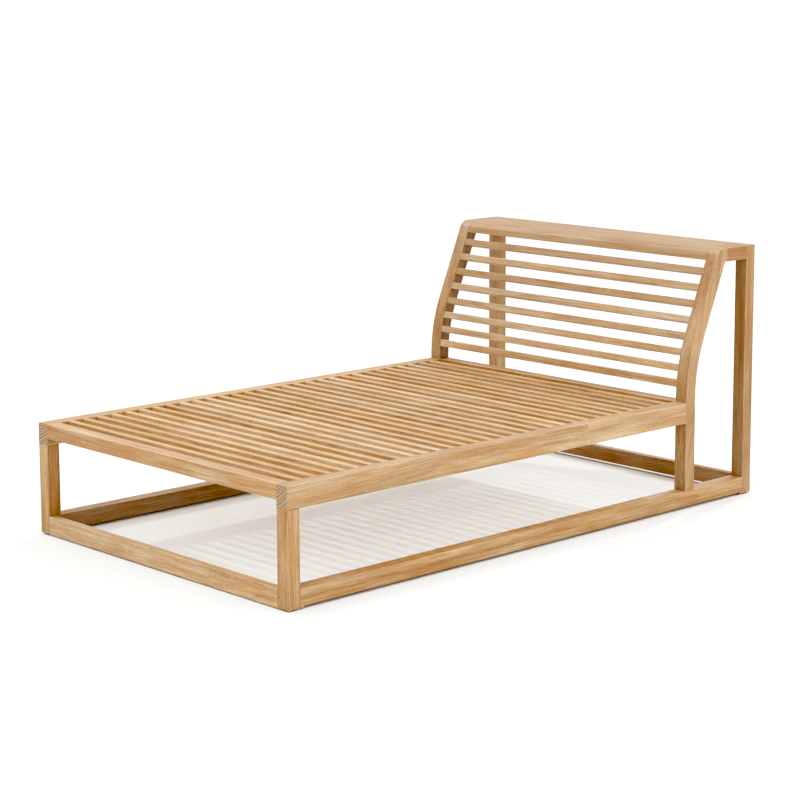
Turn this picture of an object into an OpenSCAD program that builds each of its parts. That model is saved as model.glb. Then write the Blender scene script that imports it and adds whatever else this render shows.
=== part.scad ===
// Slatted teak chaise longue with a fixed, curved back on an open box frame.
// Lengths are millimetres. X runs across the seat, Y from the foot end to the head end, Z up.
// The origin lies on the floor under the middle of the footprint. Right is +X, as seen from the foot end.
// Every joint is a tenon in a mortise or a round peg in a bore, and shoulders meet face to face.

/* [Overall] */
// Overall width across the side frames
overall_w = 950; // [800:10:1200]
// Overall height of the back
overall_h = 667; // [640:1:720]
// Height of the seat frame's top
seat_h = 280; // [260:1:320]
// Length of the seat, from the foot face to the front of the back posts
seat_l = 1330; // [1100:10:1500]
// Depth of the back frame, from the front of the back posts to the rear face
back_depth = 270; // [255:5:340]

/* [Legs and posts] */
// Width of every leg and post, and of the side rails, across the seat
post_w = 37; // [34:1:46]
// Depth of the foot legs and the rear posts, along the seat
leg_d = 35; // [32:1:46]
// Thickness of the curved back posts, square to their front face
back_post_t = 36; // [34:1:42]

/* [Seat frame] */
// Height of the seat's side rails
seat_rail_h = 54; // [50:1:70]
// Depth of the foot rail, along the seat
foot_rail_d = 36; // [28:1:46]
// Height of the foot rail
foot_rail_h = 36; // [32:1:42]
// Height of the head rail
head_rail_h = 36; // [32:1:42]

/* [Seat slats] */
// Number of seat slats
seat_slats = 30; // [20:1:32]
// Width of a seat slat, along the seat
seat_slat_w = 16; // [13:1:22]
// Height of a seat slat
seat_slat_h = 30; // [24:1:34]
// How far the slats lie below the rails' top
seat_slat_drop = 1; // [0:0.5:3]

/* [Base frame] */
// Height of the base rails and the foot stretcher
base_h = 45; // [42:1:60]
// Depth of the relief under a base rail
base_relief = 4.5; // [2:0.5:8]
// Length left at full height at each end of a base rail
base_pad = 9; // [4:1:30]
// Thickness of the two stretchers
stretcher_t = 21; // [18:1:26]
// Height of the rear stretcher
rear_stretcher_h = 40.5; // [34:0.5:44]

/* [Curved back] */
// Lean of the back's straight upper part, in degrees
back_lean = 23; // [16:1:26]
// Radius of the bend in the front of the back posts
bend_r = 420; // [300:10:520]
// Height above the seat where the bend starts
bend_start = 10; // [0:1:40]
// Radius that rounds the top front edge of the back
top_round_r = 28; // [12:1:34]
// Length of the back post's head behind its rear edge, under the top rail's end
head_ear = 8; // [4:1:14]

/* [Back slats] */
// Number of back slats
back_slats = 8; // [5:1:10]
// Height of a back slat, along the curve
back_slat_h = 19; // [14:1:24]
// Thickness of a back slat
back_slat_t = 16; // [13:1:20]
// How far the back slats lie behind the front of the posts
back_slat_inset = 1; // [0:0.5:3]
// Height of the lowest back slat's middle above the seat
first_slat_rise = 46; // [34:1:60]
// Distance from the highest back slat's middle up to the top board
last_slat_drop = 26; // [20:1:36]

/* [Top of the back] */
// Height of the short top rails
top_rail_h = 36; // [34:1:42]
// Thickness of the top board
top_board_t = 31.5; // [20:0.5:34]

/* [Joints] */
// Thickness of the frame tenons
tenon_t = 10; // [8:1:12]
// Length of the frame tenons
tenon_l = 16; // [12:1:17]
// Shoulder above and below a frame tenon
tenon_shoulder = 8; // [6:1:10]
// Wall between a cross rail's tenon and the outer face of its post
tenon_wall = 5; // [4:0.5:6]
// Height of the tenons low down in the legs
low_tenon_h = 22; // [16:1:24]
// Thickness of the stretchers' tenons
stretcher_tenon_t = 8; // [6:1:9]
// Shoulder under a top rail's tenon, and wall between it and the dowels
top_shoulder = 2.5; // [1.5:0.5:4]
// Length of the slat tenons
slat_tenon_l = 12; // [8:1:16]
// Shoulder all round a slat tenon
slat_shoulder = 3; // [2:0.5:4]
// Clearance on each cheek of a tenon, and round a peg
joint_play = 0.15; // [0.1:0.05:0.3]
// Space left at the end of a tenon or a peg
joint_end = 1; // [0.5:0.5:2]

/* [Pegs] */
// Diameter of the top board's dowels
dowel_dia = 8; // [6:1:8]
// Depth that a dowel reaches into each piece
dowel_reach = 18; // [12:1:22]
// Distance from a back post's rear edge to the middle of its dowel
dowel_inset = 16; // [12:1:20]
// Diameter of the pins that lock the stretchers
pin_dia = 3.5; // [3:0.5:6]
// Length of the locking pins
pin_l = 13; // [11:0.5:15]
// How far a pin lies below the face of its post
pin_recess = 1; // [0.5:0.5:2]
// Distance from a stretcher's shoulder to its pin
pin_set = 7.5; // [6:0.5:9]

/* [Glides] */
// Thickness of the glides under the legs
glide_t = 3; // [2:0.5:8]
// Diameter of the glides
glide_dia = 30; // [20:1:32]
// Bevel round the glides' lower edge
glide_bevel = 1; // [0.5:0.5:1.5]
// Diameter of the spigot on a glide
spigot_dia = 4; // [3:0.5:8]
// Length of the spigot on a glide
spigot_l = 9; // [5:1:9]

/* [Hidden] */
$fn = 64;
// Facets of the long bend, and how far a piece's own shapes lap and cutters run past a face
bend_fn = 240;
lap = 0.01;
past = 1;

// Planes of the frame
y_foot = -(seat_l + back_depth) / 2;
y_back = y_foot + seat_l;
y_rear = y_back + back_depth;
y_leg = y_foot + leg_d;
y_rear_post = y_rear - leg_d;
x_out = overall_w / 2;
x_in = x_out - post_w;
x_mid = x_out - post_w / 2;
inner_w = 2 * x_in;
z_base = glide_t + base_h;
z_rail = seat_h - seat_rail_h;
z_slat = seat_h - seat_slat_drop - seat_slat_h;
z_top_rail = overall_h - top_rail_h;
z_board = overall_h - top_board_t;

// Front of the back: upright, then an arc, then a straight lean
z_bend = seat_h + bend_start;
y_lean = y_back + bend_r * (1 - cos(back_lean));
z_lean = z_bend + bend_r * sin(back_lean);
function front_y(z) =
    z < z_bend ? y_back :
    z < z_lean ? y_back + bend_r - sqrt(pow(bend_r, 2) - pow(z - z_bend, 2)) :
    y_lean + (z - z_lean) * tan(back_lean);
function tilt(z) =
    z < z_bend ? 0 : z < z_lean ? asin((z - z_bend) / bend_r) : back_lean;

// Seam between a back post's head and the top rail
y_seam = front_y(z_top_rail) + back_post_t / cos(back_lean) + head_ear;
// Middle of the round on the top front edge
y_round = front_y(overall_h) + top_round_r * tan((90 - back_lean) / 2);
z_round = overall_h - top_round_r;

// Equal gaps lie between the seat slats, the foot rail and the back posts
seat_gap = (seat_l - foot_rail_d - seat_slats * seat_slat_w) / (seat_slats + 1);
function seat_slat_y(i) = y_foot + foot_rail_d + i * seat_gap + (i - 1) * seat_slat_w;

// Back slats are set out evenly in height
first_slat_z = seat_h + first_slat_rise;
back_pitch = (z_board - last_slat_drop - first_slat_z) / (back_slats - 1);
function back_slat_z(i) = first_slat_z + (i - 1) * back_pitch;

// A cross rail's tenon lies near the outer face of its post, clear of the side rail's tenon
y_head_tenon = y_back + back_post_t - tenon_wall - tenon_t;
y_foot_tenon = y_foot + (foot_rail_d - tenon_t) / 2;
z_low_tenon = z_base - tenon_shoulder - low_tenon_h;
z_pin = z_low_tenon + low_tenon_h / 2;
z_dowel = z_board + top_board_t / 2;
dowel_ys = [y_seam - dowel_inset, (y_seam + y_rear_post) / 2, y_rear_post + leg_d / 2];

SIDES = [["left", -1], ["right", 1]];
function seat_slat_name(i) = str("seat_slat_", i < 10 ? "0" : "", i);
function back_slat_name(i) = str("back_slat_", i);

// A box from its lowest to its highest corner, grown by play across its faces
module box(low, high, play = 0) {
    grow = [play, play, play];
    translate(low - grow)
        cube(high - low + 2 * grow);
}

// The same box on one side of the seat: x is measured from the inner face of the posts
module side_box(side, low, high, play = 0) {
    mirror([side < 0 ? 1 : 0, 0, 0])
        box([x_in + low[0], low[1], low[2]], [x_in + high[0], high[1], high[2]], play);
}

// A box across the whole seat, longer than the space between the posts at each end
module cross_box(longer, low, high, play = 0) {
    box([-x_in - longer, low[0], low[1]], [x_in + longer, high[0], high[1]], play);
}

// Lays a Y-Z outline across the seat from x over a width
module across(x, width) {
    translate([x, 0, 0])
        rotate([90, 0, 90])
            linear_extrude(width)
                children();
}

// Tenons and pegs. Each is drawn without play on its piece, and with play as the hole it fits in.
function end_space(play) = play > 0 ? joint_end - play : 0;
x_tenon = (post_w - tenon_t) / 2;

// Upright tenon on a foot leg, into the seat rail
module leg_tenon(side, play = 0) {
    side_box(side, [x_tenon, y_foot + tenon_shoulder, z_rail - lap],
             [x_tenon + tenon_t, y_leg - tenon_shoulder, z_rail + tenon_l + end_space(play)], play);
}

// Tenon on the foot of a back post, down into the base rail
module post_tenon(side, play = 0) {
    side_box(side, [x_tenon, y_back + tenon_shoulder, z_base - tenon_l - end_space(play)],
             [x_tenon + tenon_t, y_back + back_post_t - tenon_shoulder, z_base + lap], play);
}

// Tenon on the head end of a seat rail, into the back post
module seat_rail_tenon(side, play = 0) {
    side_box(side, [x_tenon, y_back - lap, z_rail + tenon_shoulder],
             [x_tenon + tenon_t, y_back + tenon_l + end_space(play), seat_h - tenon_shoulder], play);
}

// Tenons on the ends of a lengthwise rail, given by its Y and the tenons' Z spans
module rail_tenons(side, ys, zs, play = 0) {
    side_box(side, [x_tenon, ys[0] - tenon_l - end_space(play), zs[0]],
             [x_tenon + tenon_t, ys[0] + lap, zs[1]], play);
    side_box(side, [x_tenon, ys[1] - lap, zs[0]],
             [x_tenon + tenon_t, ys[1] + tenon_l + end_space(play), zs[1]], play);
}

module base_rail_tenons(side, play = 0) {
    rail_tenons(side, [y_leg, y_rear_post], [z_low_tenon, z_low_tenon + low_tenon_h], play);
}

// A top rail's tenons lie low, under the dowels
module top_rail_tenons(side, play = 0) {
    rail_tenons(side, [y_seam, y_rear_post],
                [z_top_rail + top_shoulder, z_dowel - dowel_dia / 2 - top_shoulder], play);
}

module foot_rail_tenons(play = 0) {
    cross_box(tenon_l + end_space(play), [y_foot_tenon, seat_h - foot_rail_h + tenon_shoulder],
              [y_foot_tenon + tenon_t, seat_h - tenon_shoulder], play);
}

module head_rail_tenons(play = 0) {
    cross_box(tenon_l + end_space(play), [y_head_tenon, seat_h - head_rail_h + tenon_shoulder],
              [y_head_tenon + tenon_t, seat_h - tenon_shoulder], play);
}

module stretcher_tenons(y, play = 0) {
    cross_box(tenon_l + end_space(play), [y, z_low_tenon],
              [y + stretcher_tenon_t, z_low_tenon + low_tenon_h], play);
}

module foot_stretcher_tenons(play = 0) {
    stretcher_tenons(y_foot + tenon_wall, play);
}

module rear_stretcher_tenons(play = 0) {
    stretcher_tenons(y_rear - tenon_wall - stretcher_tenon_t, play);
}

module seat_slat_tenons(i, play = 0) {
    cross_box(slat_tenon_l + end_space(play), [seat_slat_y(i) + slat_shoulder, z_slat + slat_shoulder],
              [seat_slat_y(i) + seat_slat_w - slat_shoulder, z_slat + seat_slat_h - slat_shoulder], play);
}

// Moves to the front of the back at a slat's height and tilts to the curve there
module on_curve(i) {
    translate([0, front_y(back_slat_z(i)), back_slat_z(i)])
        rotate([-tilt(back_slat_z(i)), 0, 0])
            children();
}

module back_slat_tenons(i, play = 0) {
    half = back_slat_h / 2 - slat_shoulder;
    on_curve(i)
        cross_box(slat_tenon_l + end_space(play), [back_slat_inset + slat_shoulder, -half],
                  [back_slat_inset + back_slat_t - slat_shoulder, half], play);
}

module dowels(play = 0) {
    reach = dowel_reach + end_space(play) + play;
    for (side = [-1, 1], y = dowel_ys)
        translate([side * x_in - reach, y, z_dowel])
            rotate([0, 90, 0])
                cylinder(d = dowel_dia + 2 * play, h = 2 * reach);
}

// A pin's bore runs out to the face of its post
module pins(play = 0) {
    recess = play > 0 ? -past : pin_recess;
    deep = pin_recess + pin_l + end_space(play) + play;
    for (side = [-1, 1], face = [[y_foot, -90], [y_rear, 90]])
        translate([side * (x_in + pin_set), face[0], z_pin])
            rotate([face[1], 0, 0])
                translate([0, 0, recess])
                    cylinder(d = pin_dia + 2 * play, h = deep - recess);
}

module spigots(play = 0) {
    for (side = [-1, 1], y = [y_leg, y_rear])
        translate([side * x_mid, y - leg_d / 2, glide_t - lap])
            cylinder(d = spigot_dia + 2 * play, h = spigot_l + lap + end_space(play) + play);
}

// Side view of all that lies behind the back's front line and under its rounded top edge
module back_outline() {
    y_tangent = y_round - top_round_r * cos(back_lean);
    z_tangent = z_round + top_round_r * sin(back_lean);
    difference() {
        translate([y_back, z_base])
            square([back_depth, overall_h - z_base]);
        // Space in front of the arc and the lean
        difference() {
            polygon([[y_back - past, z_bend], [y_back + bend_r, z_bend], [y_lean, z_lean],
                     [front_y(overall_h + past), overall_h + past], [y_back - past, overall_h + past]]);
            translate([y_back + bend_r, z_bend])
                circle(bend_r, $fn = bend_fn);
        }
        // Corner outside the round
        difference() {
            polygon([[front_y(overall_h) - past, overall_h + past], [y_tangent - past, z_tangent],
                     [y_tangent, z_tangent], [y_round, z_round], [y_round, overall_h + past]]);
            translate([y_round, z_round])
                circle(top_round_r);
        }
    }
}

// Side view of a curved back post: one thickness along the curve, with a square head
module back_post_outline() {
    intersection() {
        back_outline();
        union() {
            translate([y_back, z_base])
                square([back_post_t, z_bend - z_base]);
            // Bend
            intersection() {
                translate([y_back + bend_r, z_bend])
                    difference() {
                        circle(bend_r + past, $fn = bend_fn);
                        circle(bend_r - back_post_t, $fn = bend_fn);
                    }
                polygon([[y_back + bend_r, z_bend], [y_back - bend_r, z_bend],
                         [y_back - bend_r, z_bend + 2 * bend_r * tan(back_lean)]]);
            }
            // Lean, cut off at the seam
            difference() {
                translate([y_lean, z_lean])
                    rotate(-back_lean)
                        translate([-past, 0])
                            square([back_post_t + past, overall_h]);
                translate([y_seam, z_lean])
                    square([overall_h, overall_h]);
            }
            // Head
            translate([front_y(z_top_rail), z_top_rail])
                square([y_seam - front_y(z_top_rail), top_rail_h]);
        }
    }
}

module foot_leg(side) {
    color("burlywood")
        difference() {
            union() {
                side_box(side, [0, y_foot, glide_t], [post_w, y_leg, z_rail]);
                leg_tenon(side);
            }
            base_rail_tenons(side, joint_play);
            foot_stretcher_tenons(joint_play);
            pins(joint_play);
            spigots(joint_play);
        }
}

module seat_rail(side) {
    color("burlywood")
        difference() {
            union() {
                side_box(side, [0, y_foot, z_rail], [post_w, y_back, seat_h]);
                seat_rail_tenon(side);
            }
            leg_tenon(side, joint_play);
            foot_rail_tenons(joint_play);
            for (i = [1 : seat_slats])
                seat_slat_tenons(i, joint_play);
        }
}

module base_rail(side) {
    color("burlywood")
        difference() {
            union() {
                side_box(side, [0, y_leg, glide_t], [post_w, y_rear_post, z_base]);
                base_rail_tenons(side);
            }
            side_box(side, [-past, y_leg + base_pad, glide_t - past],
                     [post_w + past, y_rear_post - base_pad, glide_t + base_relief]);
            post_tenon(side, joint_play);
        }
}

module back_post(side) {
    color("burlywood")
        difference() {
            union() {
                across(side * x_mid - post_w / 2, post_w)
                    back_post_outline();
                post_tenon(side);
            }
            seat_rail_tenon(side, joint_play);
            head_rail_tenons(joint_play);
            top_rail_tenons(side, joint_play);
            dowels(joint_play);
            for (i = [1 : back_slats])
                back_slat_tenons(i, joint_play);
        }
}

module rear_post(side) {
    color("burlywood")
        difference() {
            side_box(side, [0, y_rear_post, glide_t], [post_w, y_rear, overall_h]);
            base_rail_tenons(side, joint_play);
            top_rail_tenons(side, joint_play);
            rear_stretcher_tenons(joint_play);
            dowels(joint_play);
            pins(joint_play);
            spigots(joint_play);
        }
}

module top_rail(side) {
    color("peru")
        difference() {
            union() {
                side_box(side, [0, y_seam, z_top_rail], [post_w, y_rear_post, overall_h]);
                top_rail_tenons(side);
            }
            dowels(joint_play);
        }
}

module foot_rail() {
    color("burlywood")
        union() {
            cross_box(0, [y_foot, seat_h - foot_rail_h], [y_foot + foot_rail_d, seat_h]);
            foot_rail_tenons();
        }
}

module head_rail() {
    color("burlywood")
        union() {
            cross_box(0, [y_back, seat_h - head_rail_h], [y_back + back_post_t, seat_h]);
            head_rail_tenons();
        }
}

module foot_stretcher() {
    color("burlywood")
        difference() {
            union() {
                cross_box(0, [y_foot, glide_t], [y_foot + stretcher_t, z_base]);
                foot_stretcher_tenons();
            }
            pins(joint_play);
        }
}

module rear_stretcher() {
    color("burlywood")
        difference() {
            union() {
                cross_box(0, [y_rear - stretcher_t, z_base - rear_stretcher_h], [y_rear, z_base]);
                rear_stretcher_tenons();
            }
            pins(joint_play);
        }
}

module top_board() {
    color("burlywood")
        difference() {
            intersection() {
                across(-x_in, inner_w)
                    back_outline();
                cross_box(past, [y_back, z_board], [y_rear + past, overall_h + past]);
            }
            dowels(joint_play);
        }
}

module seat_slat(i) {
    color("wheat")
        union() {
            cross_box(0, [seat_slat_y(i), z_slat], [seat_slat_y(i) + seat_slat_w, z_slat + seat_slat_h]);
            seat_slat_tenons(i);
        }
}

module back_slat(i) {
    color("wheat")
        union() {
            on_curve(i)
                cross_box(0, [back_slat_inset, -back_slat_h / 2],
                          [back_slat_inset + back_slat_t, back_slat_h / 2]);
            back_slat_tenons(i);
        }
}

// Nylon glides: a bevelled disc with a spigot, one under each leg
module glides() {
    color("dimgray")
        for (side = [-1, 1], y = [y_leg, y_rear])
            translate([side * x_mid, y - leg_d / 2, 0])
                rotate_extrude()
                    polygon([[0, 0], [glide_dia / 2 - glide_bevel, 0], [glide_dia / 2, glide_bevel],
                             [glide_dia / 2, glide_t], [spigot_dia / 2, glide_t],
                             [spigot_dia / 2, glide_t + spigot_l], [0, glide_t + spigot_l]]);
}

module locking_pins() {
    color("saddlebrown")
        pins();
}

module board_dowels() {
    color("tan")
        dowels();
}

for (s = SIDES) {
    foot_leg(s[1]);
    seat_rail(s[1]);
    base_rail(s[1]);
    back_post(s[1]);
    rear_post(s[1]);
    top_rail(s[1]);
}
foot_rail();
head_rail();
foot_stretcher();
rear_stretcher();
top_board();
for (i = [1 : seat_slats])
    seat_slat(i);
for (i = [1 : back_slats])
    back_slat(i);
glides();
locking_pins();
board_dowels();
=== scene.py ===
from math import atan2, cos, pi, radians, sin, tan
from random import Random

import bmesh
import bpy
from mathutils import Matrix, Vector


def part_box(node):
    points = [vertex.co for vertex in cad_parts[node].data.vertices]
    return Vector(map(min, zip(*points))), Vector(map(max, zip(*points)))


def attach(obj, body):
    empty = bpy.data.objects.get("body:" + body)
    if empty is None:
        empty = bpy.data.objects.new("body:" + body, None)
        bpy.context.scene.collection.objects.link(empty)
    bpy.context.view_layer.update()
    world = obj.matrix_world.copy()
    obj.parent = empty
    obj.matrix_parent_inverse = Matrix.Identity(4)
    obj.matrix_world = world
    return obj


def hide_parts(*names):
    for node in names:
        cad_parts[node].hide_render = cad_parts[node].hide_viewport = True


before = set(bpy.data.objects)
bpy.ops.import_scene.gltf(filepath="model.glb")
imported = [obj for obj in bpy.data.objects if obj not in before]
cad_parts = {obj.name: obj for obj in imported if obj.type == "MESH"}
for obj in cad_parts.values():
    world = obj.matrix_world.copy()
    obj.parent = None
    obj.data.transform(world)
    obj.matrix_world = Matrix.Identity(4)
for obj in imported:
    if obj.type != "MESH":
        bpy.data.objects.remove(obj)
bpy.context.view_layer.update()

print("frame loaded:", len(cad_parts), "nodes")

mm = 0.001
xAxis = Vector((1, 0, 0))
yAxis = Vector((0, 1, 0))
zAxis = Vector((0, 0, 1))
left, right = -1, 1
sideName = {left: "left", right: "right"}

# Planes that the pieces share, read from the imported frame
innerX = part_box("rear_post_right")[0].x
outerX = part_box("rear_post_right")[1].x
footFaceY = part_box("foot_leg_right")[0].y
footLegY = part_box("foot_leg_right")[1].y
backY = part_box("back_post_right")[0].y
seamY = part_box("back_post_right")[1].y
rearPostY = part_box("rear_post_right")[0].y
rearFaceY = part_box("rear_post_right")[1].y
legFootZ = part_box("foot_leg_right")[0].z
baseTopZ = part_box("base_rail_right")[1].z
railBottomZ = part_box("seat_rail_right")[0].z
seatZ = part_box("seat_rail_right")[1].z
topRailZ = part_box("top_rail_right")[0].z
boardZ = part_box("top_board")[0].z
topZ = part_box("top_board")[1].z

# Side view of the back: it repeats the sizes that the frame's curved posts have
backCurve = {
    "lean": radians(23),
    "bendRadius": 420 * mm,
    "bendStart": 10 * mm,      # above the seat
    "postThickness": 36 * mm,
    "topRound": 28 * mm,       # radius of the top front edge
    "bendSteps": 26,
    "roundSegments": 16,
}
bendZ = seatZ + backCurve["bendStart"]
leanZ = bendZ + backCurve["bendRadius"] * sin(backCurve["lean"])
leanY = backY + backCurve["bendRadius"] * (1 - cos(backCurve["lean"]))


# Tilt of the back's front face at a height, and its place there
def curveTilt(z):
    if z <= bendZ:
        return 0.0
    if z < leanZ:
        rise = (z - bendZ) / backCurve["bendRadius"]
        return atan2(rise, (1 - rise * rise) ** 0.5)
    return backCurve["lean"]


def curveY(z):
    if z < leanZ:
        return backY + backCurve["bendRadius"] * (1 - cos(curveTilt(z)))
    return leanY + (z - leanZ) * tan(backCurve["lean"])


# Node building

def addNode(tree, kind, sockets=None, **settings):
    made = tree.nodes.new("ShaderNode" + kind)
    for key, value in settings.items():
        setattr(made, key, value)
    for socket, source in (sockets or {}).items():
        if isinstance(source, bpy.types.NodeSocket):
            tree.links.new(source, made.inputs[socket])
        else:
            made.inputs[socket].default_value = source
    return made


def maths(tree, operation, first, second=0.0, third=0.0):
    return addNode(tree, "Math", {0: first, 1: second, 2: third}, operation=operation).outputs[0]


def vectorMaths(tree, operation, *vectors):
    return addNode(tree, "VectorMath", dict(enumerate(vectors)), operation=operation).outputs


def blendColours(tree, mode, amount, first, second):
    made = addNode(tree, "Mix", {0: amount, 6: first, 7: second}, data_type="RGBA", blend_type=mode)
    return made.outputs[2]


# Lays a second colour over the first where the mask is white
def stain(tree, colour, mask, strength, other):
    return blendColours(tree, "MIX", maths(tree, "MULTIPLY", mask, strength), colour, other)


# A smooth step between two values
def spread(tree, value, low, high, outLow=0.0, outHigh=1.0):
    made = addNode(tree, "MapRange", {0: value, 1: low, 2: high, 3: outLow, 4: outHigh},
                   interpolation_type="SMOOTHSTEP")
    return made.outputs[0]


def evenNoise(tree, place, scale, detail):
    return addNode(tree, "TexNoise", {"Vector": place, "Scale": scale, "Detail": detail}).outputs["Fac"]


def addBump(tree, shader, height, strength, distance):
    made = addNode(tree, "Bump", {"Strength": strength, "Distance": distance, "Height": height})
    tree.links.new(made.outputs[0], shader.inputs["Normal"])


def readAttribute(tree, name):
    return addNode(tree, "Attribute", attribute_name=name)


def newMaterial(name):
    made = bpy.data.materials.new(name)
    made.use_nodes = True
    return made, made.node_tree, made.node_tree.nodes["Principled BSDF"]


# Bare teak. The grain is a solid log: woodPlace is each point's place in it, along and across the fibre.
teakBase = {
    "pale": (0.373, 0.226, 0.109, 1),
    "rich": (0.312, 0.153, 0.058, 1),
    "ringLine": (0.180, 0.084, 0.031, 1),
    "pore": (0.070, 0.032, 0.013, 1),
    "mineral": (0.140, 0.076, 0.034, 1),
    "endGrain": (0.350, 0.240, 0.138, 1),
    "endLine": (0.070, 0.036, 0.016, 1),
    # Paler colour on the eased arrises: worn edges and a painted highlight
    "wornAndHighlight": (0.500, 0.370, 0.245, 1),
    "wanderDepth": 30 * mm,          # how far the rings wander from straight
    "waveDepth": 4.5 * mm,
    "ringsPerMetre": 135.0,
    "endRingsPerMetre": 180.0,
    "widthsPerMetre": 70.0,          # how often the rings' width changes
    "widthDepth": 1.8,               # and by how many rings
    "flecksPerMetre": (5.0, 40.0, 40.0),
    "ringStrength": 0.29,
    "mineralStrength": 0.40,
    "poreStrength": 0.70,
    "poresBetween": 0.25,            # share of the pores that lie between the ring lines
    "endRingStrength": 0.85,
    "endPoreStrength": 0.6,
    "endGrainStrength": 0.90,
    "wornAndHighlightStrength": 0.20,
    "plainRichness": 0.5,            # half way between pale and rich
    "toneDepth": 0.40,               # how far the piece's own tone makes it richer
    "figureDepth": 2.6,              # and how far the broad figure does
    "patchDepth": 5.0,               # pinker and yellower patches
    "ownHue": 0.71,                  # the piece's own pinkness, beside its patches
    "hueDepth": 0.28,                # most that pinkness adds to the blue
    "hueGreenShare": 0.38,
    "brightness": 1.03,
    "lightDepth": 0.10,              # how far the piece's own lightness counts
    "bandDepth": 0.11,
    "streakDepth": 0.15,
    "fibreDepth": 0.10,
    "shadeGreen": 1.35,              # powers of the shade in green and blue, where red has 1
    "shadeBlue": 1.90,
    "roughness": (0.55, 0.43),       # in dark and in pale streaks
    "poreRoughness": 0.20,
    "endRoughness": 0.18,
    "specular": 0.66,
    "bump": 0.5,
    "bumpDistance": 0.35 * mm,
    "fibreHeight": 0.55,
    "poreSink": 0.8,
    "ringSink": 0.25,
}

# Noises of the teak: cycles per metre along and across the fibre, then detail and roughness
teakNoise = {
    "wander": (1.5, 7.0, 1.0, 0.5),
    "wave": (9.0, 40.0, 1.0, 0.5),
    "ringFade": (2.2, 22.0, 2.0, 0.5),
    "band": (2.4, 60.0, 2.0, 0.5),
    "streak": (9.0, 300.0, 4.0, 0.62),
    "fibre": (45.0, 1500.0, 2.0, 0.5),
    "figure": (4.2, 20.0, 3.0, 0.6),
    "cloud": (6.5, 30.0, 2.0, 0.5),
    "pore": (170.0, 2400.0, 1.0, 0.5),
    "mineral": (1.6, 90.0, 3.0, 0.7),
}

# Smooth steps of the teak: where each starts and ends, then what it gives there
teakStep = {
    "earlyWood": (0.0, 0.38, 1.0, 0.0),
    "lateWood": (0.80, 1.0, 0.0, 0.8),
    "ringFade": (0.36, 0.62, 0.25, 1.0),
    "endRing": (0.14, 0.30, 1.0, 0.0),
    "pore": (0.56, 0.64, 0.0, 1.0),
    "mineral": (0.64, 0.74, 0.0, 1.0),
    "fleckShape": (0.04, 0.14, 1.0, 0.0),
    "fleckShare": (0.84, 0.88, 0.0, 1.0),
    "richness": (0.0, 1.0, 0.0, 1.0),
    "hue": (-1.6, 1.6, -1.0, 1.0),
    "wearAndHighlight": (0.35, 0.60, 0.3, 1.0),
}
shadeRange = (0.32, 0.68)
roughRange = (0.25, 0.75)
noiseMiddle = 0.5


def grainNoise(tree, place, name):
    along, across, detail, roughness = teakNoise[name]
    stretched = addNode(tree, "Mapping", {"Vector": place, "Scale": (along, across, across)})
    return addNode(tree, "TexNoise", {"Vector": stretched.outputs[0], "Scale": 1.0, "Detail": detail,
                                      "Roughness": roughness})


def grainStep(tree, value, name):
    return spread(tree, value, *teakStep[name])


# Moves a place across the fibre by a noise
def swayAcross(tree, place, sway, depth):
    centred = vectorMaths(tree, "SUBTRACT", sway.outputs["Color"], [noiseMiddle] * 3)[0]
    return vectorMaths(tree, "MULTIPLY_ADD", centred, (0, depth, depth), place)[0]


# Ring lines along the log, and the sharper rings that its cut ends show
def addRings(tree, fibrePlace, look):
    crossCut = vectorMaths(tree, "MULTIPLY", fibrePlace, (0, 1, 1))[0]
    radius = vectorMaths(tree, "LENGTH", crossCut)["Value"]
    widths = addNode(tree, "TexNoise", {"W": maths(tree, "MULTIPLY", radius, look["widthsPerMetre"]),
                                        "Scale": 1.0, "Detail": 2.0}, noise_dimensions="1D").outputs["Fac"]
    rings = maths(tree, "ADD", maths(tree, "MULTIPLY", radius, look["ringsPerMetre"]),
                  maths(tree, "MULTIPLY", widths, look["widthDepth"]))
    phase = maths(tree, "FRACT", rings)
    ringLine = maths(tree, "MAXIMUM", grainStep(tree, phase, "earlyWood"),
                     grainStep(tree, phase, "lateWood"))
    endRings = maths(tree, "ADD", maths(tree, "MULTIPLY", radius, look["endRingsPerMetre"]), widths)
    halfRing = 0.5
    return ringLine, grainStep(tree, maths(tree, "PINGPONG", endRings, halfRing), "endRing")


# Open pores, most of them in the ring lines
def addPores(tree, fibrePlace, ringLine, look):
    porous = grainNoise(tree, fibrePlace, "pore").outputs["Fac"]
    between = look["poresBetween"]
    return maths(tree, "MULTIPLY", grainStep(tree, porous, "pore"),
                 maths(tree, "MULTIPLY_ADD", ringLine, 1 - between, between))


# Mineral streaks, and rare dark flecks, long and thin, like the gum pockets and pin knots of real teak
def addMinerals(tree, fibrePlace, look):
    minerals = grainNoise(tree, fibrePlace, "mineral").outputs["Fac"]
    fleckPlace = addNode(tree, "Mapping", {"Vector": fibrePlace, "Scale": look["flecksPerMetre"]}).outputs[0]
    flecks = addNode(tree, "TexVoronoi", {"Vector": fleckPlace, "Scale": 1.0})
    fleckDraw = addNode(tree, "SeparateColor", {0: flecks.outputs["Color"]}).outputs[0]
    fleck = maths(tree, "MULTIPLY", grainStep(tree, flecks.outputs["Distance"], "fleckShape"),
                  grainStep(tree, fleckDraw, "fleckShare"))
    return maths(tree, "MAXIMUM", grainStep(tree, minerals, "mineral"), fleck)


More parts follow.
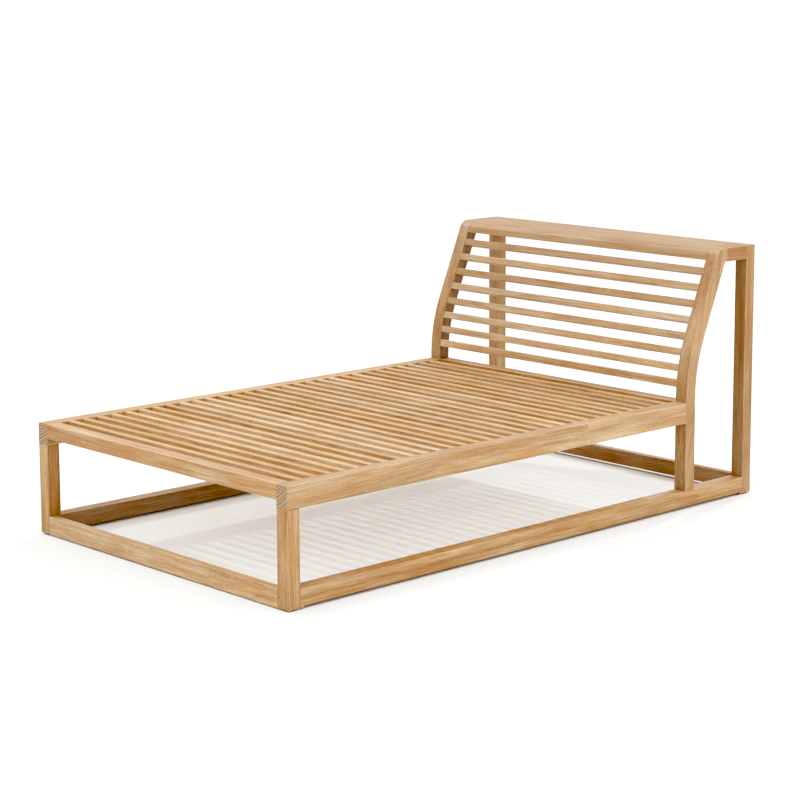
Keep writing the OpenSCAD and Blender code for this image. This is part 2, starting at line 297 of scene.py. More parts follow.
# The wood under the grain: pale to rich by its figure, and yellower to pinker by patches and its own hue
def mixGround(tree, place, fibrePlace, tone, pinkness, look):
    figure = grainNoise(tree, place, "figure").outputs["Fac"]
    richness = maths(tree, "MULTIPLY_ADD", tone, look["toneDepth"], look["plainRichness"])
    richness = maths(tree, "MULTIPLY_ADD", maths(tree, "SUBTRACT", figure, noiseMiddle),
                     look["figureDepth"], richness)
    colour = blendColours(tree, "MIX", grainStep(tree, richness, "richness"), look["pale"], look["rich"])
    cloud = grainNoise(tree, fibrePlace, "cloud").outputs["Color"]
    patchy = addNode(tree, "SeparateColor", {0: cloud}).outputs[1]
    patches = maths(tree, "MULTIPLY_ADD", patchy, look["patchDepth"], -noiseMiddle * look["patchDepth"])
    pink = grainStep(tree, maths(tree, "MULTIPLY_ADD", pinkness, look["ownHue"], patches), "hue")
    greenDepth = look["hueDepth"] * look["hueGreenShare"]
    hueColour = addNode(tree, "CombineColor", {0: 1.0, 1: maths(tree, "MULTIPLY_ADD", pink, greenDepth, 1.0),
                                               2: maths(tree, "MULTIPLY_ADD", pink, look["hueDepth"], 1.0)})
    return blendColours(tree, "MULTIPLY", 1.0, colour, hueColour.outputs[0])


# Light and dark of the bands, streaks and fibres, and of the piece as a whole, whose lightness on some
# pieces and faces is painted light or shade
def mixShade(tree, grains, lightness, look):
    shade = look["brightness"]
    for name, grain in grains.items():
        depth = look[name + "Depth"]
        shade = maths(tree, "MULTIPLY", shade, spread(tree, grain, *shadeRange, 1 - depth, 1 + depth))
    green = maths(tree, "POWER", shade, look["shadeGreen"])
    blue = maths(tree, "POWER", shade, look["shadeBlue"])
    paleness = maths(tree, "MULTIPLY_ADD", lightness, look["lightDepth"], 1.0)
    parts = [maths(tree, "MULTIPLY", part, paleness) for part in (shade, green, blue)]
    return addNode(tree, "CombineColor", dict(enumerate(parts))).outputs[0]


def makeTeak(name, **changes):
    look = {**teakBase, **changes}
    material, tree, shader = newMaterial(name)
    place = readAttribute(tree, "woodPlace").outputs["Vector"]
    toneParts = addNode(tree, "SeparateXYZ", {0: readAttribute(tree, "woodTone").outputs["Vector"]}).outputs
    tone, pinkness, lightness = toneParts[0], toneParts[1], toneParts[2]
    endGrain = readAttribute(tree, "endGrain").outputs["Fac"]
    arris = readAttribute(tree, "arris").outputs["Fac"]

    # Slow wander of the rings along the log, and a small waviness of every fibre
    fibrePlace = swayAcross(tree, place, grainNoise(tree, place, "wander"), look["wanderDepth"])
    fibrePlace = swayAcross(tree, fibrePlace, grainNoise(tree, place, "wave"), look["waveDepth"])
    ringLine, endRing = addRings(tree, fibrePlace, look)
    fading = grainNoise(tree, fibrePlace, "ringFade").outputs["Fac"]
    ringSeen = maths(tree, "MULTIPLY", ringLine, grainStep(tree, fading, "ringFade"))
    grains = {kind: grainNoise(tree, fibrePlace, kind).outputs["Fac"]
              for kind in ("band", "streak", "fibre")}
    pores = addPores(tree, fibrePlace, ringLine, look)
    minerals = addMinerals(tree, fibrePlace, look)

    colour = mixGround(tree, place, fibrePlace, tone, pinkness, look)
    colour = stain(tree, colour, ringSeen, look["ringStrength"], look["ringLine"])
    colour = blendColours(tree, "MULTIPLY", 1.0, colour, mixShade(tree, grains, lightness, look))
    colour = stain(tree, colour, minerals, look["mineralStrength"], look["mineral"])
    colour = stain(tree, colour, pores, look["poreStrength"], look["pore"])
    endColour = stain(tree, look["endGrain"], endRing, look["endRingStrength"], look["endLine"])
    endColour = stain(tree, endColour, pores, look["endPoreStrength"], look["pore"])
    colour = stain(tree, colour, endGrain, look["endGrainStrength"], endColour)
    # The eased arrises turn paler where the streaks allow: partly worn edges, partly a painted highlight
    wearAndHighlight = maths(tree, "MULTIPLY", arris, grainStep(tree, grains["streak"], "wearAndHighlight"))
    colour = stain(tree, colour, wearAndHighlight, look["wornAndHighlightStrength"], look["wornAndHighlight"])
    tree.links.new(colour, shader.inputs["Base Color"])

    rough = spread(tree, grains["streak"], *roughRange, *look["roughness"])
    rough = maths(tree, "MULTIPLY_ADD", pores, look["poreRoughness"], rough)
    rough = maths(tree, "MULTIPLY_ADD", endGrain, look["endRoughness"], rough)
    tree.links.new(rough, shader.inputs["Roughness"])
    shader.inputs["Specular IOR Level"].default_value = look["specular"]

    height = maths(tree, "MULTIPLY", grains["fibre"], look["fibreHeight"])
    height = maths(tree, "SUBTRACT", height, maths(tree, "MULTIPLY", pores, look["poreSink"]))
    height = maths(tree, "SUBTRACT", height, maths(tree, "MULTIPLY", ringLine, look["ringSink"]))
    addBump(tree, shader, height, look["bump"], look["bumpDistance"])
    return material


# Near-black nylon of the glides, with dust in patches
def makeNylon():
    look = {
        "colour": (0.018, 0.017, 0.016, 1),
        "dust": (0.070, 0.064, 0.056, 1),
        "dustScale": 60.0,
        "dustRange": (0.45, 0.75),
        "gritScale": 900.0,
        "gritRange": (0.2, 0.8),
        "roughness": (0.42, 0.60),
        "bump": 0.3,
        "bumpDistance": 0.1 * mm,
    }
    material, tree, shader = newMaterial("glideNylon")
    place = addNode(tree, "TexCoord").outputs["Object"]
    grit = evenNoise(tree, place, look["gritScale"], 3.0)
    dust = evenNoise(tree, place, look["dustScale"], 4.0)
    colour = blendColours(tree, "MIX", spread(tree, dust, *look["dustRange"]), look["colour"], look["dust"])
    tree.links.new(colour, shader.inputs["Base Color"])
    tree.links.new(spread(tree, grit, *look["gritRange"], *look["roughness"]), shader.inputs["Roughness"])
    addBump(tree, shader, grit, look["bump"], look["bumpDistance"])
    return material


# Wood of the pins and of the hidden dowels
def makePegWood(name, pale, dark):
    look = {
        "gritScale": 1400.0,
        "colourRange": (0.35, 0.65),
        "gritRange": (0.3, 0.7),
        "roughness": (0.60, 0.80),
        "bump": 0.4,
        "bumpDistance": 0.2 * mm,
    }
    material, tree, shader = newMaterial(name)
    place = addNode(tree, "TexCoord").outputs["Object"]
    grit = evenNoise(tree, place, look["gritScale"], 3.0)
    colour = blendColours(tree, "MIX", spread(tree, grit, *look["colourRange"]), pale, dark)
    tree.links.new(colour, shader.inputs["Base Color"])
    tree.links.new(spread(tree, grit, *look["gritRange"], *look["roughness"]), shader.inputs["Roughness"])
    addBump(tree, shader, grit, look["bump"], look["bumpDistance"])
    return material


# The timbers: slats are paler and plainer, the board is calmer, and the top rails are a redder cut
teak = {
    "frame_teak": makeTeak("teakFrame"),
    "slat_teak": makeTeak("teakSlat", pale=(0.480, 0.310, 0.174, 1), rich=(0.378, 0.206, 0.092, 1),
                          ringsPerMetre=190.0, figureDepth=1.2, hueDepth=0.25, bandDepth=0.08,
                          shadeGreen=1.15, shadeBlue=1.35, mineralStrength=0.60, specular=0.40),
    "board_teak": makeTeak("teakBoard", pale=(0.290, 0.179, 0.088, 1), rich=(0.259, 0.139, 0.055, 1),
                           ringsPerMetre=170.0, hueDepth=0.30, bandDepth=0.08, streakDepth=0.10,
                           shadeGreen=1.15, shadeBlue=1.35),
    "top_rail_teak": makeTeak("teakTopRail", pale=(0.306, 0.150, 0.061, 1), rich=(0.255, 0.106, 0.038, 1)),
}
glideNylon = makeNylon()
pinWood = makePegWood("pinWood", (0.085, 0.040, 0.018, 1), (0.030, 0.014, 0.007, 1))
dowelWood = makePegWood("dowelWood", (0.560, 0.380, 0.200, 1), (0.420, 0.260, 0.130, 1))
print("materials made:", len(bpy.data.materials))


# Shaping

# How each kind of edge is eased: its radius, then its segments
easing = {
    "frame": (1.6 * mm, 3),
    "slat": (1.3 * mm, 3),
    "openEnd": (0.9 * mm, 2),
    "joint": (0.35 * mm, 1),
}
arrisTurn = radians(40)      # a sharper turn between two faces is an arris
smoothTurn = radians(12)     # a softer one is shaded smooth
flatTurn = radians(0.2)      # and a softer one than this is flat
near = 0.01 * mm             # places this close are one
parallelCosine = 0.999


def newShape():
    bm = bmesh.new()
    bm.faces.layers.float.new("arris")
    return bm


def everything(bm):
    return bm.verts[:] + bm.edges[:] + bm.faces[:]


def onlyVerts(geometry):
    return [g for g in geometry if isinstance(g, bmesh.types.BMVert)]


def ease(bm, edges, kind):
    radius, segments = easing[kind]
    layer = bm.faces.layers.float["arris"]
    rounded = bmesh.ops.bevel(bm, geom=edges, offset=radius, offset_type="OFFSET", segments=segments,
                              profile=0.5, affect="EDGES", clamp_overlap=True, material=-1)
    for face in rounded["faces"]:
        face[layer] = 1.0


def edgesAlong(bm, axis):
    def runsAlong(edge):
        return abs((edge.verts[0].co - edge.verts[1].co).normalized().dot(axis)) > parallelCosine
    return [e for e in bm.edges if runsAlong(e)]


def edgesOnPlane(bm, point, normal):
    def onPlane(vert):
        return abs((vert.co - point).dot(normal)) < near
    return [e for e in bm.edges if onPlane(e.verts[0]) and onPlane(e.verts[1])]


# A straight bar along an axis, with its arrises and its two ends eased
def bar(low, high, axis, arris, ends):
    bm = newShape()
    middle = (low + high) / 2
    size = high - low
    bmesh.ops.create_cube(bm, size=1.0, matrix=Matrix.Translation(middle) @ Matrix.Diagonal((*size, 1.0)))
    ease(bm, edgesAlong(bm, axis), arris)
    for end, kind in zip((low, high), ends):
        ease(bm, edgesOnPlane(bm, end, axis), kind)
    return bm


# A Y-Z outline drawn across the seat
def acrossSeat(lowX, highX, outline):
    bm = newShape()
    start = bm.faces.new([bm.verts.new((lowX, y, z)) for y, z in outline])
    pushed = bmesh.ops.extrude_face_region(bm, geom=[start])["geom"]
    bmesh.ops.translate(bm, verts=onlyVerts(pushed), vec=(highX - lowX, 0, 0))
    bmesh.ops.recalc_face_normals(bm, faces=bm.faces[:])
    return bm


# Lowest and highest corners of a piece on one side, given as they are on the right
def onSide(side, low, high):
    xs = sorted((side * low[0], side * high[0]))
    return Vector((xs[0], low[1], low[2])), Vector((xs[1], high[1], high[2]))


cutterShape = {"segments": 24, "past": 2 * mm}      # it starts this far outside the face


def cutHoles(piece, holes):
    for start, direction, radius, depth in holes:
        cutter = bmesh.new()
        turn = direction.to_track_quat("Z", "Y").to_matrix().to_4x4()
        middle = Matrix.Translation(start + direction * (depth / 2 - cutterShape["past"] / 2))
        bmesh.ops.create_cone(cutter, cap_ends=True, segments=cutterShape["segments"], radius1=radius,
                              radius2=radius, depth=depth + cutterShape["past"], matrix=middle @ turn)
        mesh = bpy.data.meshes.new("holeCutter")
        cutter.to_mesh(mesh)
        cutter.free()
        tool = bpy.data.objects.new("holeCutter", mesh)
        bpy.context.scene.collection.objects.link(tool)
        cut = piece.modifiers.new("hole", "BOOLEAN")
        cut.object = tool
        cut.solver = "EXACT"
        bpy.context.view_layer.update()
        seen = piece.evaluated_get(bpy.context.evaluated_depsgraph_get())
        piece.data = bpy.data.meshes.new_from_object(seen)
        piece.modifiers.clear()
        bpy.data.objects.remove(tool)


def shadeCurves(bm):
    for face in bm.faces:
        face.smooth = True
    for edge in bm.edges:
        edge.smooth = edge.is_manifold and edge.calc_face_angle() < smoothTurn


# Tones that the photo shows of single pieces: richness, pinkness and lightness, where 0 is plain. On some
# pieces the lightness is painted shade.
pieceToneAndPaintedShade = {
    "foot_leg_right": (0.1, -0.2, 0.3),
    "foot_leg_left": (0.0, -0.8, 0.15),
    # Its low lightness is painted shade, darkest on its front behind the back post
    "rear_post_right": (0.3, 1.4, -1.7),
    "rear_post_left": (-0.2, 0.15, -0.15),
    "seat_rail_right": (0.1, 0.2, 0.25),
    "seat_rail_left": (0.0, 0.0, 0.0),
    "top_rail_right": (0.1, -1.1, -1.1),
    "base_rail_right": (0.3, 0.05, 0.55),
    # Its low lightness is painted shade on its inner face, under the seat
    "base_rail_left": (0.3, 1.0, -2.8),
    "foot_rail": (0.3, -0.7, -0.2),
    "foot_stretcher": (-0.3, 1.0, 1.5),
    "rear_stretcher": (0.3, 0.4, -0.3),
    "back_post_right": (0.3, 0.25, -0.9),
    "back_post_left": (0.2, 0.9, -0.9),
    "top_board": (0.3, -0.5, -0.3),
    "back_slat_1": (0.3, 2.0, 1.2),
    "back_slat_2": (0.0, 2.1, 0.5),
    "back_slat_3": (0.0, 1.6, -0.6),
    "back_slat_4": (0.2, 1.4, -1.75),
    "back_slat_5": (-0.3, 1.0, -1.6),
    "back_slat_6": (0.8, 1.0, -2.25),
    "back_slat_7": (0.0, 1.2, -1.4),
    "back_slat_8": (0.6, 1.4, -2.6),
}

# The right seat rail turns paler and pinker from here to its head end, with the grain of another stretch
toneStep = {"node": "seat_rail_right", "y": 155 * mm, "pink": 1.6, "light": 1.5, "slip": 43.0}

# Pinkness and lightness added on the faces of a piece that are square to an axis: on the seat slats' fronts
# this is painted light, on the left back post's inner face painted shade
faceToneAndPaintedLight = {
    # Painted light: the slats' fronts and backs are made lighter and pinker
    "seat_slat": {"facing": yAxis, "pink": 2.2, "light": 0.7},
    "foot_rail": {"facing": zAxis, "pink": 1.5, "light": 0.6},
    "foot_stretcher": {"facing": zAxis, "pink": 1.2, "light": 0.2},
    "base_rail_left": {"facing": zAxis, "pink": -1.3, "light": 0.0},
    "rear_stretcher": {"facing": zAxis, "pink": -0.2, "light": -1.0},
    "seat_rail_right": {"facing": zAxis, "pink": 0.0, "light": -1.5},
    "foot_leg_right": {"facing": yAxis, "pink": -1.0, "light": -1.2},
    "rear_post_right": {"facing": xAxis, "pink": -2.8, "light": 0.3},
    "rear_post_left": {"facing": xAxis, "pink": -1.0, "light": -0.2},
    # Painted shade on the left back post's inner face, seen between the back slats
    "back_post_left": {"facing": xAxis, "pink": -3.6, "light": -2.3},
    "back_post_right": {"facing": xAxis, "pink": -0.4, "light": 0.0},
    "top_rail_right": {"facing": xAxis, "pink": -0.5, "light": -0.1},
}
facingCosine = 0.7         # a face that looks along an axis this well takes that axis's tone
endGrainCosine = 0.75      # and one that looks along its own piece shows end grain
uprightCosine = 0.5        # a piece that stands up this much is sawn as an upright

# What is drawn for each piece, up to these limits
sawing = {
    "skew": 0.6,               # degrees between the bar and the log
    "pithAway": (45, 140),     # millimetres from the bar's middle to the pith
    "slip": 40,                # metres along the log
    "tone": 0.8,
    "pink": 0.8,
    "light": 0.9,
}
draw = Random(11)


def eitherWay(limit):
    return draw.uniform(-limit, limit)


def drawCut(node, hueShift=0.0, **fixed):
    cut = {
        "skew": radians(eitherWay(sawing["skew"])),
        "pithAngle": draw.uniform(0, 2 * pi),
        "pithAway": draw.uniform(*sawing["pithAway"]) * mm,
        "slip": draw.uniform(0, sawing["slip"]),
        "tone": eitherWay(sawing["tone"]),
        "pink": eitherWay(sawing["pink"]) + hueShift,
        "light": eitherWay(sawing["light"]),
    }
    known = dict(zip(("tone", "pink", "light"), pieceToneAndPaintedShade.get(node, ())))
    return {**cut, **known, **fixed}


# Every piece is sawn from its own place in the log, with its pith off to one side
def sawFromLog(mesh, axis, cut, step, faceToneAndLight):
    middle = sum((v.co for v in mesh.vertices), Vector()) / len(mesh.vertices)
    lying = abs(axis.z) < uprightCosine
    skew = Matrix.Rotation(cut["skew"], 3, zAxis if lying else xAxis)
    along = (skew @ axis).normalized()
    across = along.cross(zAxis if lying else yAxis).normalized()
    third = along.cross(across)
    pith = Vector((cos(cut["pithAngle"]), sin(cut["pithAngle"]))) * cut["pithAway"]
    place = []
    tones = []
    for face in mesh.polygons:
        seen = cut
        if step and face.center.y > step["y"]:
            seen = {**cut, **step}
        # Faces square to an axis take the added pinkness and lightness, which on some pieces is painted
        # light or shade
        if faceToneAndLight and abs(face.normal.dot(faceToneAndLight["facing"])) > facingCosine:
            seen = {**seen, "pink": seen["pink"] + faceToneAndLight["pink"],
                    "light": seen["light"] + faceToneAndLight["light"]}
        for index in face.vertices:
            away = mesh.vertices[index].co - middle
            place += [away.dot(along) + seen["slip"], away.dot(across) + pith.x, away.dot(third) + pith.y]
            tones += [seen["tone"], seen["pink"], seen["light"]]
    mesh.attributes.new("woodPlace", "FLOAT_VECTOR", "CORNER").data.foreach_set("vector", place)
    mesh.attributes.new("woodTone", "FLOAT_VECTOR", "CORNER").data.foreach_set("vector", tones)
    ends = [1.0 if abs(p.normal.dot(axis)) > endGrainCosine else 0.0 for p in mesh.polygons]
    mesh.attributes.new("endGrain", "FLOAT", "FACE").data.foreach_set("value", ends)


def finishPiece(bm, node, slotName, axis, holes=(), **fixedCut):
    cut = drawCut(node, **fixedCut)
    step = toneStep if node == toneStep["node"] else None
    if step:
        bmesh.ops.bisect_plane(bm, geom=everything(bm), plane_co=(0, step["y"], 0), plane_no=yAxis)
    bmesh.ops.recalc_face_normals(bm, faces=bm.faces[:])
    shadeCurves(bm)
    mesh = bpy.data.meshes.new("wood_" + node)
    bm.to_mesh(mesh)
    bm.free()
    piece = bpy.data.objects.new("wood_" + node, mesh)
    bpy.context.scene.collection.objects.link(piece)
    cutHoles(piece, holes)
    faceToneAndLight = faceToneAndPaintedLight.get("seat_slat" if node.startswith("seat_slat_") else node)
    sawFromLog(piece.data, axis, cut, step, faceToneAndLight)
    piece.data.materials.clear()
    piece.data.materials.append(teak[slotName])
    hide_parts(node)
    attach(piece, "root")


# Legs and rear posts, with the locking pins' bores in their outer faces
pinBore = {"play": 0.15 * mm, "depth": 15 * mm}


def pinHole(side, faceY, direction):
    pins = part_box("locking_pins")
    pinRadius = (pins[1].z - pins[0].z) / 2
    start = Vector((side * (pins[1].x - pinRadius), faceY, (pins[0].z + pins[1].z) / 2))
    return start, direction, pinRadius + pinBore["play"], pinBore["depth"]


for side in (left, right):
    low, high = onSide(side, (innerX, footFaceY, legFootZ), (outerX, footLegY, railBottomZ))
    leg = bar(low, high, zAxis, "frame", ("openEnd", "joint"))
    finishPiece(leg, "foot_leg_" + sideName[side], "frame_teak", zAxis,
                [pinHole(side, footFaceY, yAxis)])
    low, high = onSide(side, (innerX, rearPostY, legFootZ), (outerX, rearFaceY, topZ))
    post = bar(low, high, zAxis, "frame", ("openEnd", "openEnd"))
    finishPiece(post, "rear_post_" + sideName[side], "frame_teak", zAxis,
                [pinHole(side, rearFaceY, -yAxis)])
print("legs and rear posts done")

# Side rails of the seat, whose foot ends show end grain, and the short top rails
seatRailCut = {"pithAngle": radians(57), "pithAway": 170 * mm}
for side in (left, right):
    low, high = onSide(side, (innerX, footFaceY, railBottomZ), (outerX, backY, seatZ))
    rail = bar(low, high, yAxis, "frame", ("openEnd", "joint"))
    finishPiece(rail, "seat_rail_" + sideName[side], "frame_teak", yAxis, **seatRailCut)
    low, high = onSide(side, (innerX, seamY, topRailZ), (outerX, rearPostY, topZ))
    topRail = bar(low, high, yAxis, "frame", ("joint", "joint"))
    finishPiece(topRail, "top_rail_" + sideName[side], "top_rail_teak", yAxis)
print("side rails and top rails done")

# Base rails stand on short pads at both ends and clear the floor between them
baseRelief = {"depth": 4.5 * mm, "pad": 9 * mm}
for side in (left, right):
    padFoot = footLegY + baseRelief["pad"]
    padRear = rearPostY - baseRelief["pad"]
    clearZ = legFootZ + baseRelief["depth"]
    low, high = onSide(side, (innerX, footLegY, legFootZ), (outerX, rearPostY, baseTopZ))
    rail = acrossSeat(low.x, high.x, [(footLegY, legFootZ), (padFoot, legFootZ), (padFoot, clearZ),
                                      (padRear, clearZ), (padRear, legFootZ), (rearPostY, legFootZ),
                                      (rearPostY, baseTopZ), (footLegY, baseTopZ)])
    ease(rail, edgesAlong(rail, yAxis), "frame")
    for end in (low, high):
        ease(rail, edgesOnPlane(rail, end, yAxis), "joint")
    finishPiece(rail, "base_rail_" + sideName[side], "frame_teak", yAxis)
print("base rails done")


# A bar between the side frames, as high and deep as its node
def crossBar(node, arris):
    low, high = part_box(node)
    low.x, high.x = -innerX, innerX
    return bar(low, high, xAxis, arris, ("joint", "joint"))


# Cross rails and stretchers; the foot stretcher is flat-sawn near the pith
crossRailCuts = {
    "foot_rail": {},
    "head_rail": {},
    "foot_stretcher": {"pithAngle": 0.0, "pithAway": 60 * mm, "skew": radians(1.8)},
    "rear_stretcher": {},
}
for node, railCut in crossRailCuts.items():
    finishPiece(crossBar(node, "frame"), node, "frame_teak", xAxis, **railCut)
print("cross rails done")

# Seat slats, a little yellower than the rest
seatSlatCut = {"hueShift": -0.5}
seatSlats = sorted(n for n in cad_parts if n.startswith("seat_slat_"))
for node in seatSlats:
    finishPiece(crossBar(node, "slat"), node, "slat_teak", xAxis, **seatSlatCut)
print("seat slats done:", len(seatSlats))

# Back slats follow the tilt of the posts
backSlat = {"thickness": 16 * mm, "height": 19 * mm}
backSlats = sorted(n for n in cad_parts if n.startswith("back_slat_"))
for node in backSlats:
    low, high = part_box(node)
    middle = (low + high) / 2
    half = Vector((innerX, backSlat["thickness"] / 2, backSlat["height"] / 2))
    slat = bar(-half, half, xAxis, "slat", ("joint", "joint"))
    lean = Matrix.Rotation(-curveTilt(middle.z), 4, "X")
    bmesh.ops.transform(slat, matrix=Matrix.Translation((0, middle.y, middle.z)) @ lean, verts=slat.verts[:])
    finishPiece(slat, node, "slat_teak", xAxis)
print("back slats done:", len(backSlats))


# Curved back posts, and the rounded top front edge that the board shares with them
def pushFace(bm, face, matrix):
    pushed = bmesh.ops.extrude_face_region(bm, geom=[face, *face.edges, *face.verts])["geom"]
    bmesh.ops.transform(bm, matrix=matrix, verts=onlyVerts(pushed))
    return next(g for g in pushed if isinstance(g, bmesh.types.BMFace))


def pushEdges(bm, edges, shift):
    pushed = onlyVerts(bmesh.ops.extrude_edge_only(bm, edges=edges)["geom"])
    bmesh.ops.translate(bm, verts=pushed, vec=shift)
    return pushed


def roundTopFront(bm, frontY):
    edges = [e for e in edgesOnPlane(bm, Vector((0, 0, topZ)), zAxis)
             if all(abs(v.co.y - frontY) < near for v in e.verts)]
    setback = backCurve["topRound"] * tan((pi / 2 - backCurve["lean"]) / 2)
    bmesh.ops.bevel(bm, geom=edges, offset=setback, offset_type="OFFSET", profile=0.5, affect="EDGES",
                    segments=backCurve["roundSegments"], clamp_overlap=False, material=-1)


# Up from the base rail, round the bend and up the lean
def bendPost(side):
    low, high = onSide(side, (innerX, backY, baseTopZ),
                       (outerX, backY + backCurve["postThickness"], bendZ))
    post = newShape()
    corners = [(low.x, low.y), (high.x, low.y), (high.x, high.y), (low.x, high.y)]
    face = post.faces.new([post.verts.new((x, y, baseTopZ)) for x, y in corners])
    face = pushFace(post, face, Matrix.Translation((0, 0, bendZ - baseTopZ)))
    hub = Matrix.Translation((0, backY + backCurve["bendRadius"], bendZ))
    step = Matrix.Rotation(-backCurve["lean"] / backCurve["bendSteps"], 4, "X")
    for _ in range(backCurve["bendSteps"]):
        face = pushFace(post, face, hub @ step @ hub.inverted())
    upLean = Vector((0, sin(backCurve["lean"]), cos(backCurve["lean"]))) * (topZ - leanZ)
    pushFace(post, face, Matrix.Translation(upLean))
    return post


# Level cut at the top rail's underside, an ear back to the seam, then the square head above both
def squareHead(post):
    level = bmesh.ops.bisect_plane(post, geom=everything(post), plane_co=(0, 0, topRailZ), plane_no=zAxis,
                                   clear_outer=True)
    rim = [g for g in level["geom_cut"] if isinstance(g, bmesh.types.BMEdge)]
    rearEdge = max(rim, key=lambda e: e.verts[0].co.y + e.verts[1].co.y)
    pushEdges(post, [rearEdge], (0, seamY - rearEdge.verts[0].co.y, 0))
    headVerts = pushEdges(post, [e for e in post.edges if e.is_boundary], (0, 0, topZ - topRailZ))
    frontY = min(v.co.y for v in headVerts)
    for vert in headVerts:
        if vert.co.y < frontY + near:
            vert.co.y = curveY(topZ)
    bmesh.ops.holes_fill(post, edges=[e for e in post.edges if e.is_boundary], sides=0)
    bmesh.ops.dissolve_limit(post, angle_limit=flatTurn, verts=post.verts[:], edges=post.edges[:])
    bmesh.ops.recalc_face_normals(post, faces=post.faces[:])


def easePost(post):
    def jointEdges():
        seam = edgesOnPlane(post, Vector((0, seamY, 0)), yAxis)
        return seam + edgesOnPlane(post, Vector((0, 0, baseTopZ)), zAxis)
    atJoints = jointEdges()
    ease(post, [e for e in post.edges if e.calc_face_angle() > arrisTurn and e not in atJoints], "frame")
    ease(post, jointEdges(), "joint")


for side in (left, right):
    post = bendPost(side)
    squareHead(post)
    roundTopFront(post, curveY(topZ))
    easePost(post)
    chord = Vector((0, seamY - backCurve["postThickness"] - backY, topZ - baseTopZ)).normalized()
    finishPiece(post, "back_post_" + sideName[side], "frame_teak", chord, skew=0.0)
print("curved back posts done")

# Top board, with the same rounded front as the posts' heads
boardCut = {"pithAway": 90 * mm}
board = acrossSeat(-innerX, innerX, [(curveY(boardZ), boardZ), (rearFaceY, boardZ), (rearFaceY, topZ),
                                     (curveY(topZ), topZ)])
roundTopFront(board, curveY(topZ))
ease(board, [e for e in edgesAlong(board, xAxis) if e.calc_face_angle() > arrisTurn], "frame")
for end in (-innerX, innerX):
    ease(board, edgesOnPlane(board, Vector((end, 0, 0)), xAxis), "joint")
finishPiece(board, "top_board", "board_teak", xAxis, **boardCut)
print("top board done")

# Pieces that keep their frame shape
for node, material in (("glides", glideNylon), ("locking_pins", pinWood), ("board_dowels", dowelWood)):
    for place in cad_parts[node].material_slots:
        place.material = material
print("glides, pins and dowels done")


# Stage

studio = {
    "floor": 300.0,            # metres from its middle to its edges
    "floorColour": (0.750, 0.758, 0.735, 1),
    "floorRoughness": 0.9,
    "floorSpecular": 0.1,
    "sky": ((0.00, 0.20), (0.15, 0.20), (1.00, 0.96)),      # height above the horizon, brightness
    "skyStrength": 1.94,
    "blackLevel": 0.047,
    "shadowTones": ((0.05, 0.074), (0.10, 0.151), (0.20, 0.299), (0.40, 0.552), (0.70, 0.841)),
}

# Each light points from its place to the origin; of a sun's place only the direction counts
lamps = {
    "headLight": {"kind": "SUN", "place": (-0.25, 0.85, 1.0), "energy": 0.70, "angle": radians(3)},
    "leftLight": {"kind": "SUN", "place": (-1.15, -0.27, 1.0), "energy": 0.72, "angle": radians(3.2)},
    "rightBox": {"kind": "AREA", "place": (4.6, 1.0, 2.2), "energy": 66, "shape": "RECTANGLE",
                 "size": 2.5, "size_y": 1.8},
    "frontBox": {"kind": "AREA", "place": (1.6, -4.2, 1.8), "energy": 32, "shape": "RECTANGLE",
                 "size": 2.5, "size_y": 1.8},
}


def makeFloor():
    bm = bmesh.new()
    bmesh.ops.create_grid(bm, x_segments=1, y_segments=1, size=studio["floor"])
    mesh = bpy.data.meshes.new("floor")
    bm.to_mesh(mesh)
    bm.free()
    floor = bpy.data.objects.new("floor", mesh)
    bpy.context.scene.collection.objects.link(floor)
    material, tree, shader = newMaterial("paleFloor")
    shader.inputs["Base Color"].default_value = studio["floorColour"]
    shader.inputs["Roughness"].default_value = studio["floorRoughness"]
    shader.inputs["Specular IOR Level"].default_value = studio["floorSpecular"]
    mesh.materials.append(material)


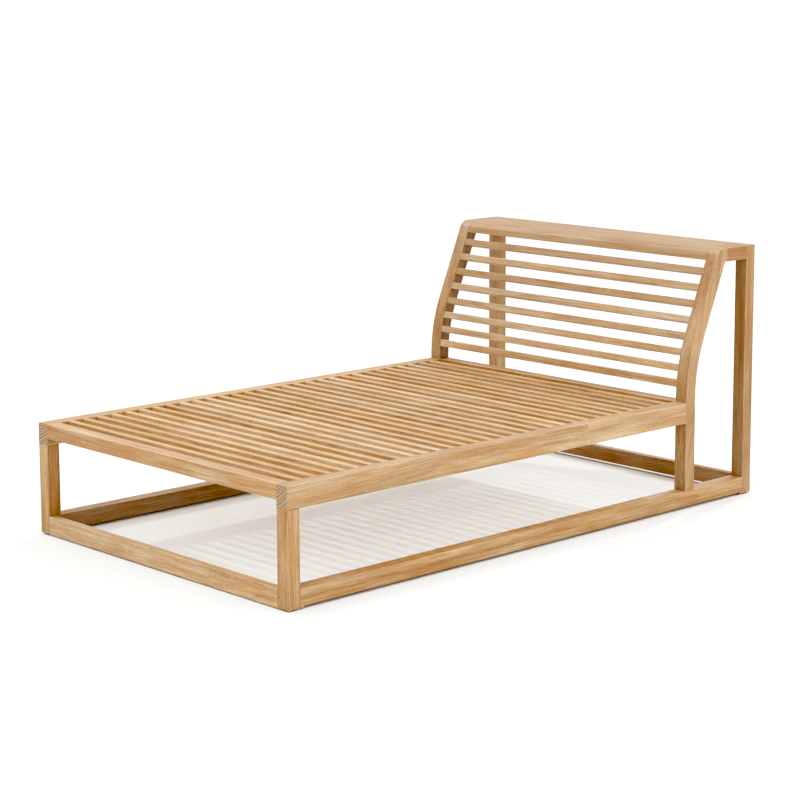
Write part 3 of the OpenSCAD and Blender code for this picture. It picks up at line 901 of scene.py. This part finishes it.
# The sky is dim and even along the horizon and grows brighter towards the zenith
def makeSky():
    world = bpy.data.worlds.new("studio")
    world.use_nodes = True
    tree = world.node_tree
    height = addNode(tree, "SeparateXYZ", {0: addNode(tree, "TexCoord").outputs["Generated"]}).outputs[2]
    ramp = addNode(tree, "ValToRGB", {0: height})
    while len(ramp.color_ramp.elements) < len(studio["sky"]):
        ramp.color_ramp.elements.new(0.5)
    for element, (position, value) in zip(ramp.color_ramp.elements, studio["sky"]):
        element.position = position
        element.color = (value, value, value, 1)
    tree.links.new(ramp.outputs[0], tree.nodes["Background"].inputs["Color"])
    tree.nodes["Background"].inputs["Strength"].default_value = studio["skyStrength"]
    bpy.context.scene.world = world


def makeLamp(name, kind, place, **settings):
    data = bpy.data.lights.new(name, kind)
    for key, value in settings.items():
        setattr(data, key, value)
    lamp = bpy.data.objects.new(name, data)
    lamp.location = place
    lamp.rotation_mode = "QUATERNION"
    lamp.rotation_quaternion = Vector(place).to_track_quat("Z", "Y")
    bpy.context.scene.collection.objects.link(lamp)


makeFloor()
makeSky()
for name, lamp in lamps.items():
    makeLamp(name, **lamp)

# Camera, solved from the photograph's corners: its place in metres, its turn and its pitch
shot = {
    "place": (3.9587, -3.6900, 1.3513),
    "turn": radians(45.97),
    "pitch": radians(8.68),
    "lens": 97.22,
    "sensor": 36,
    "shift": (-0.0593, -0.1124),
    "clipEnd": 1000,
}
cameraData = bpy.data.cameras.new("camera")
cameraData.lens = shot["lens"]
cameraData.sensor_width = shot["sensor"]
cameraData.shift_x, cameraData.shift_y = shot["shift"]
cameraData.clip_end = shot["clipEnd"]
camera = bpy.data.objects.new("camera", cameraData)
backwards = Vector((sin(shot["turn"]) * cos(shot["pitch"]), -cos(shot["turn"]) * cos(shot["pitch"]),
                    sin(shot["pitch"])))
camera.location = shot["place"]
camera.rotation_mode = "QUATERNION"
camera.rotation_quaternion = (-backwards).to_track_quat("-Z", "Y")
bpy.context.scene.collection.objects.link(camera)
bpy.context.scene.camera = camera

# Tone curve of the picture, which deepens the blacks and lifts the shadows
view = bpy.context.scene.view_settings
view.view_transform = "Standard"
view.use_curve_mapping = True
view.curve_mapping.black_level = [studio["blackLevel"]] * 3
combinedCurve = view.curve_mapping.curves[3]
for shadowTone in studio["shadowTones"]:
    combinedCurve.points.new(*shadowTone)
view.curve_mapping.update()
print("stage and camera done")
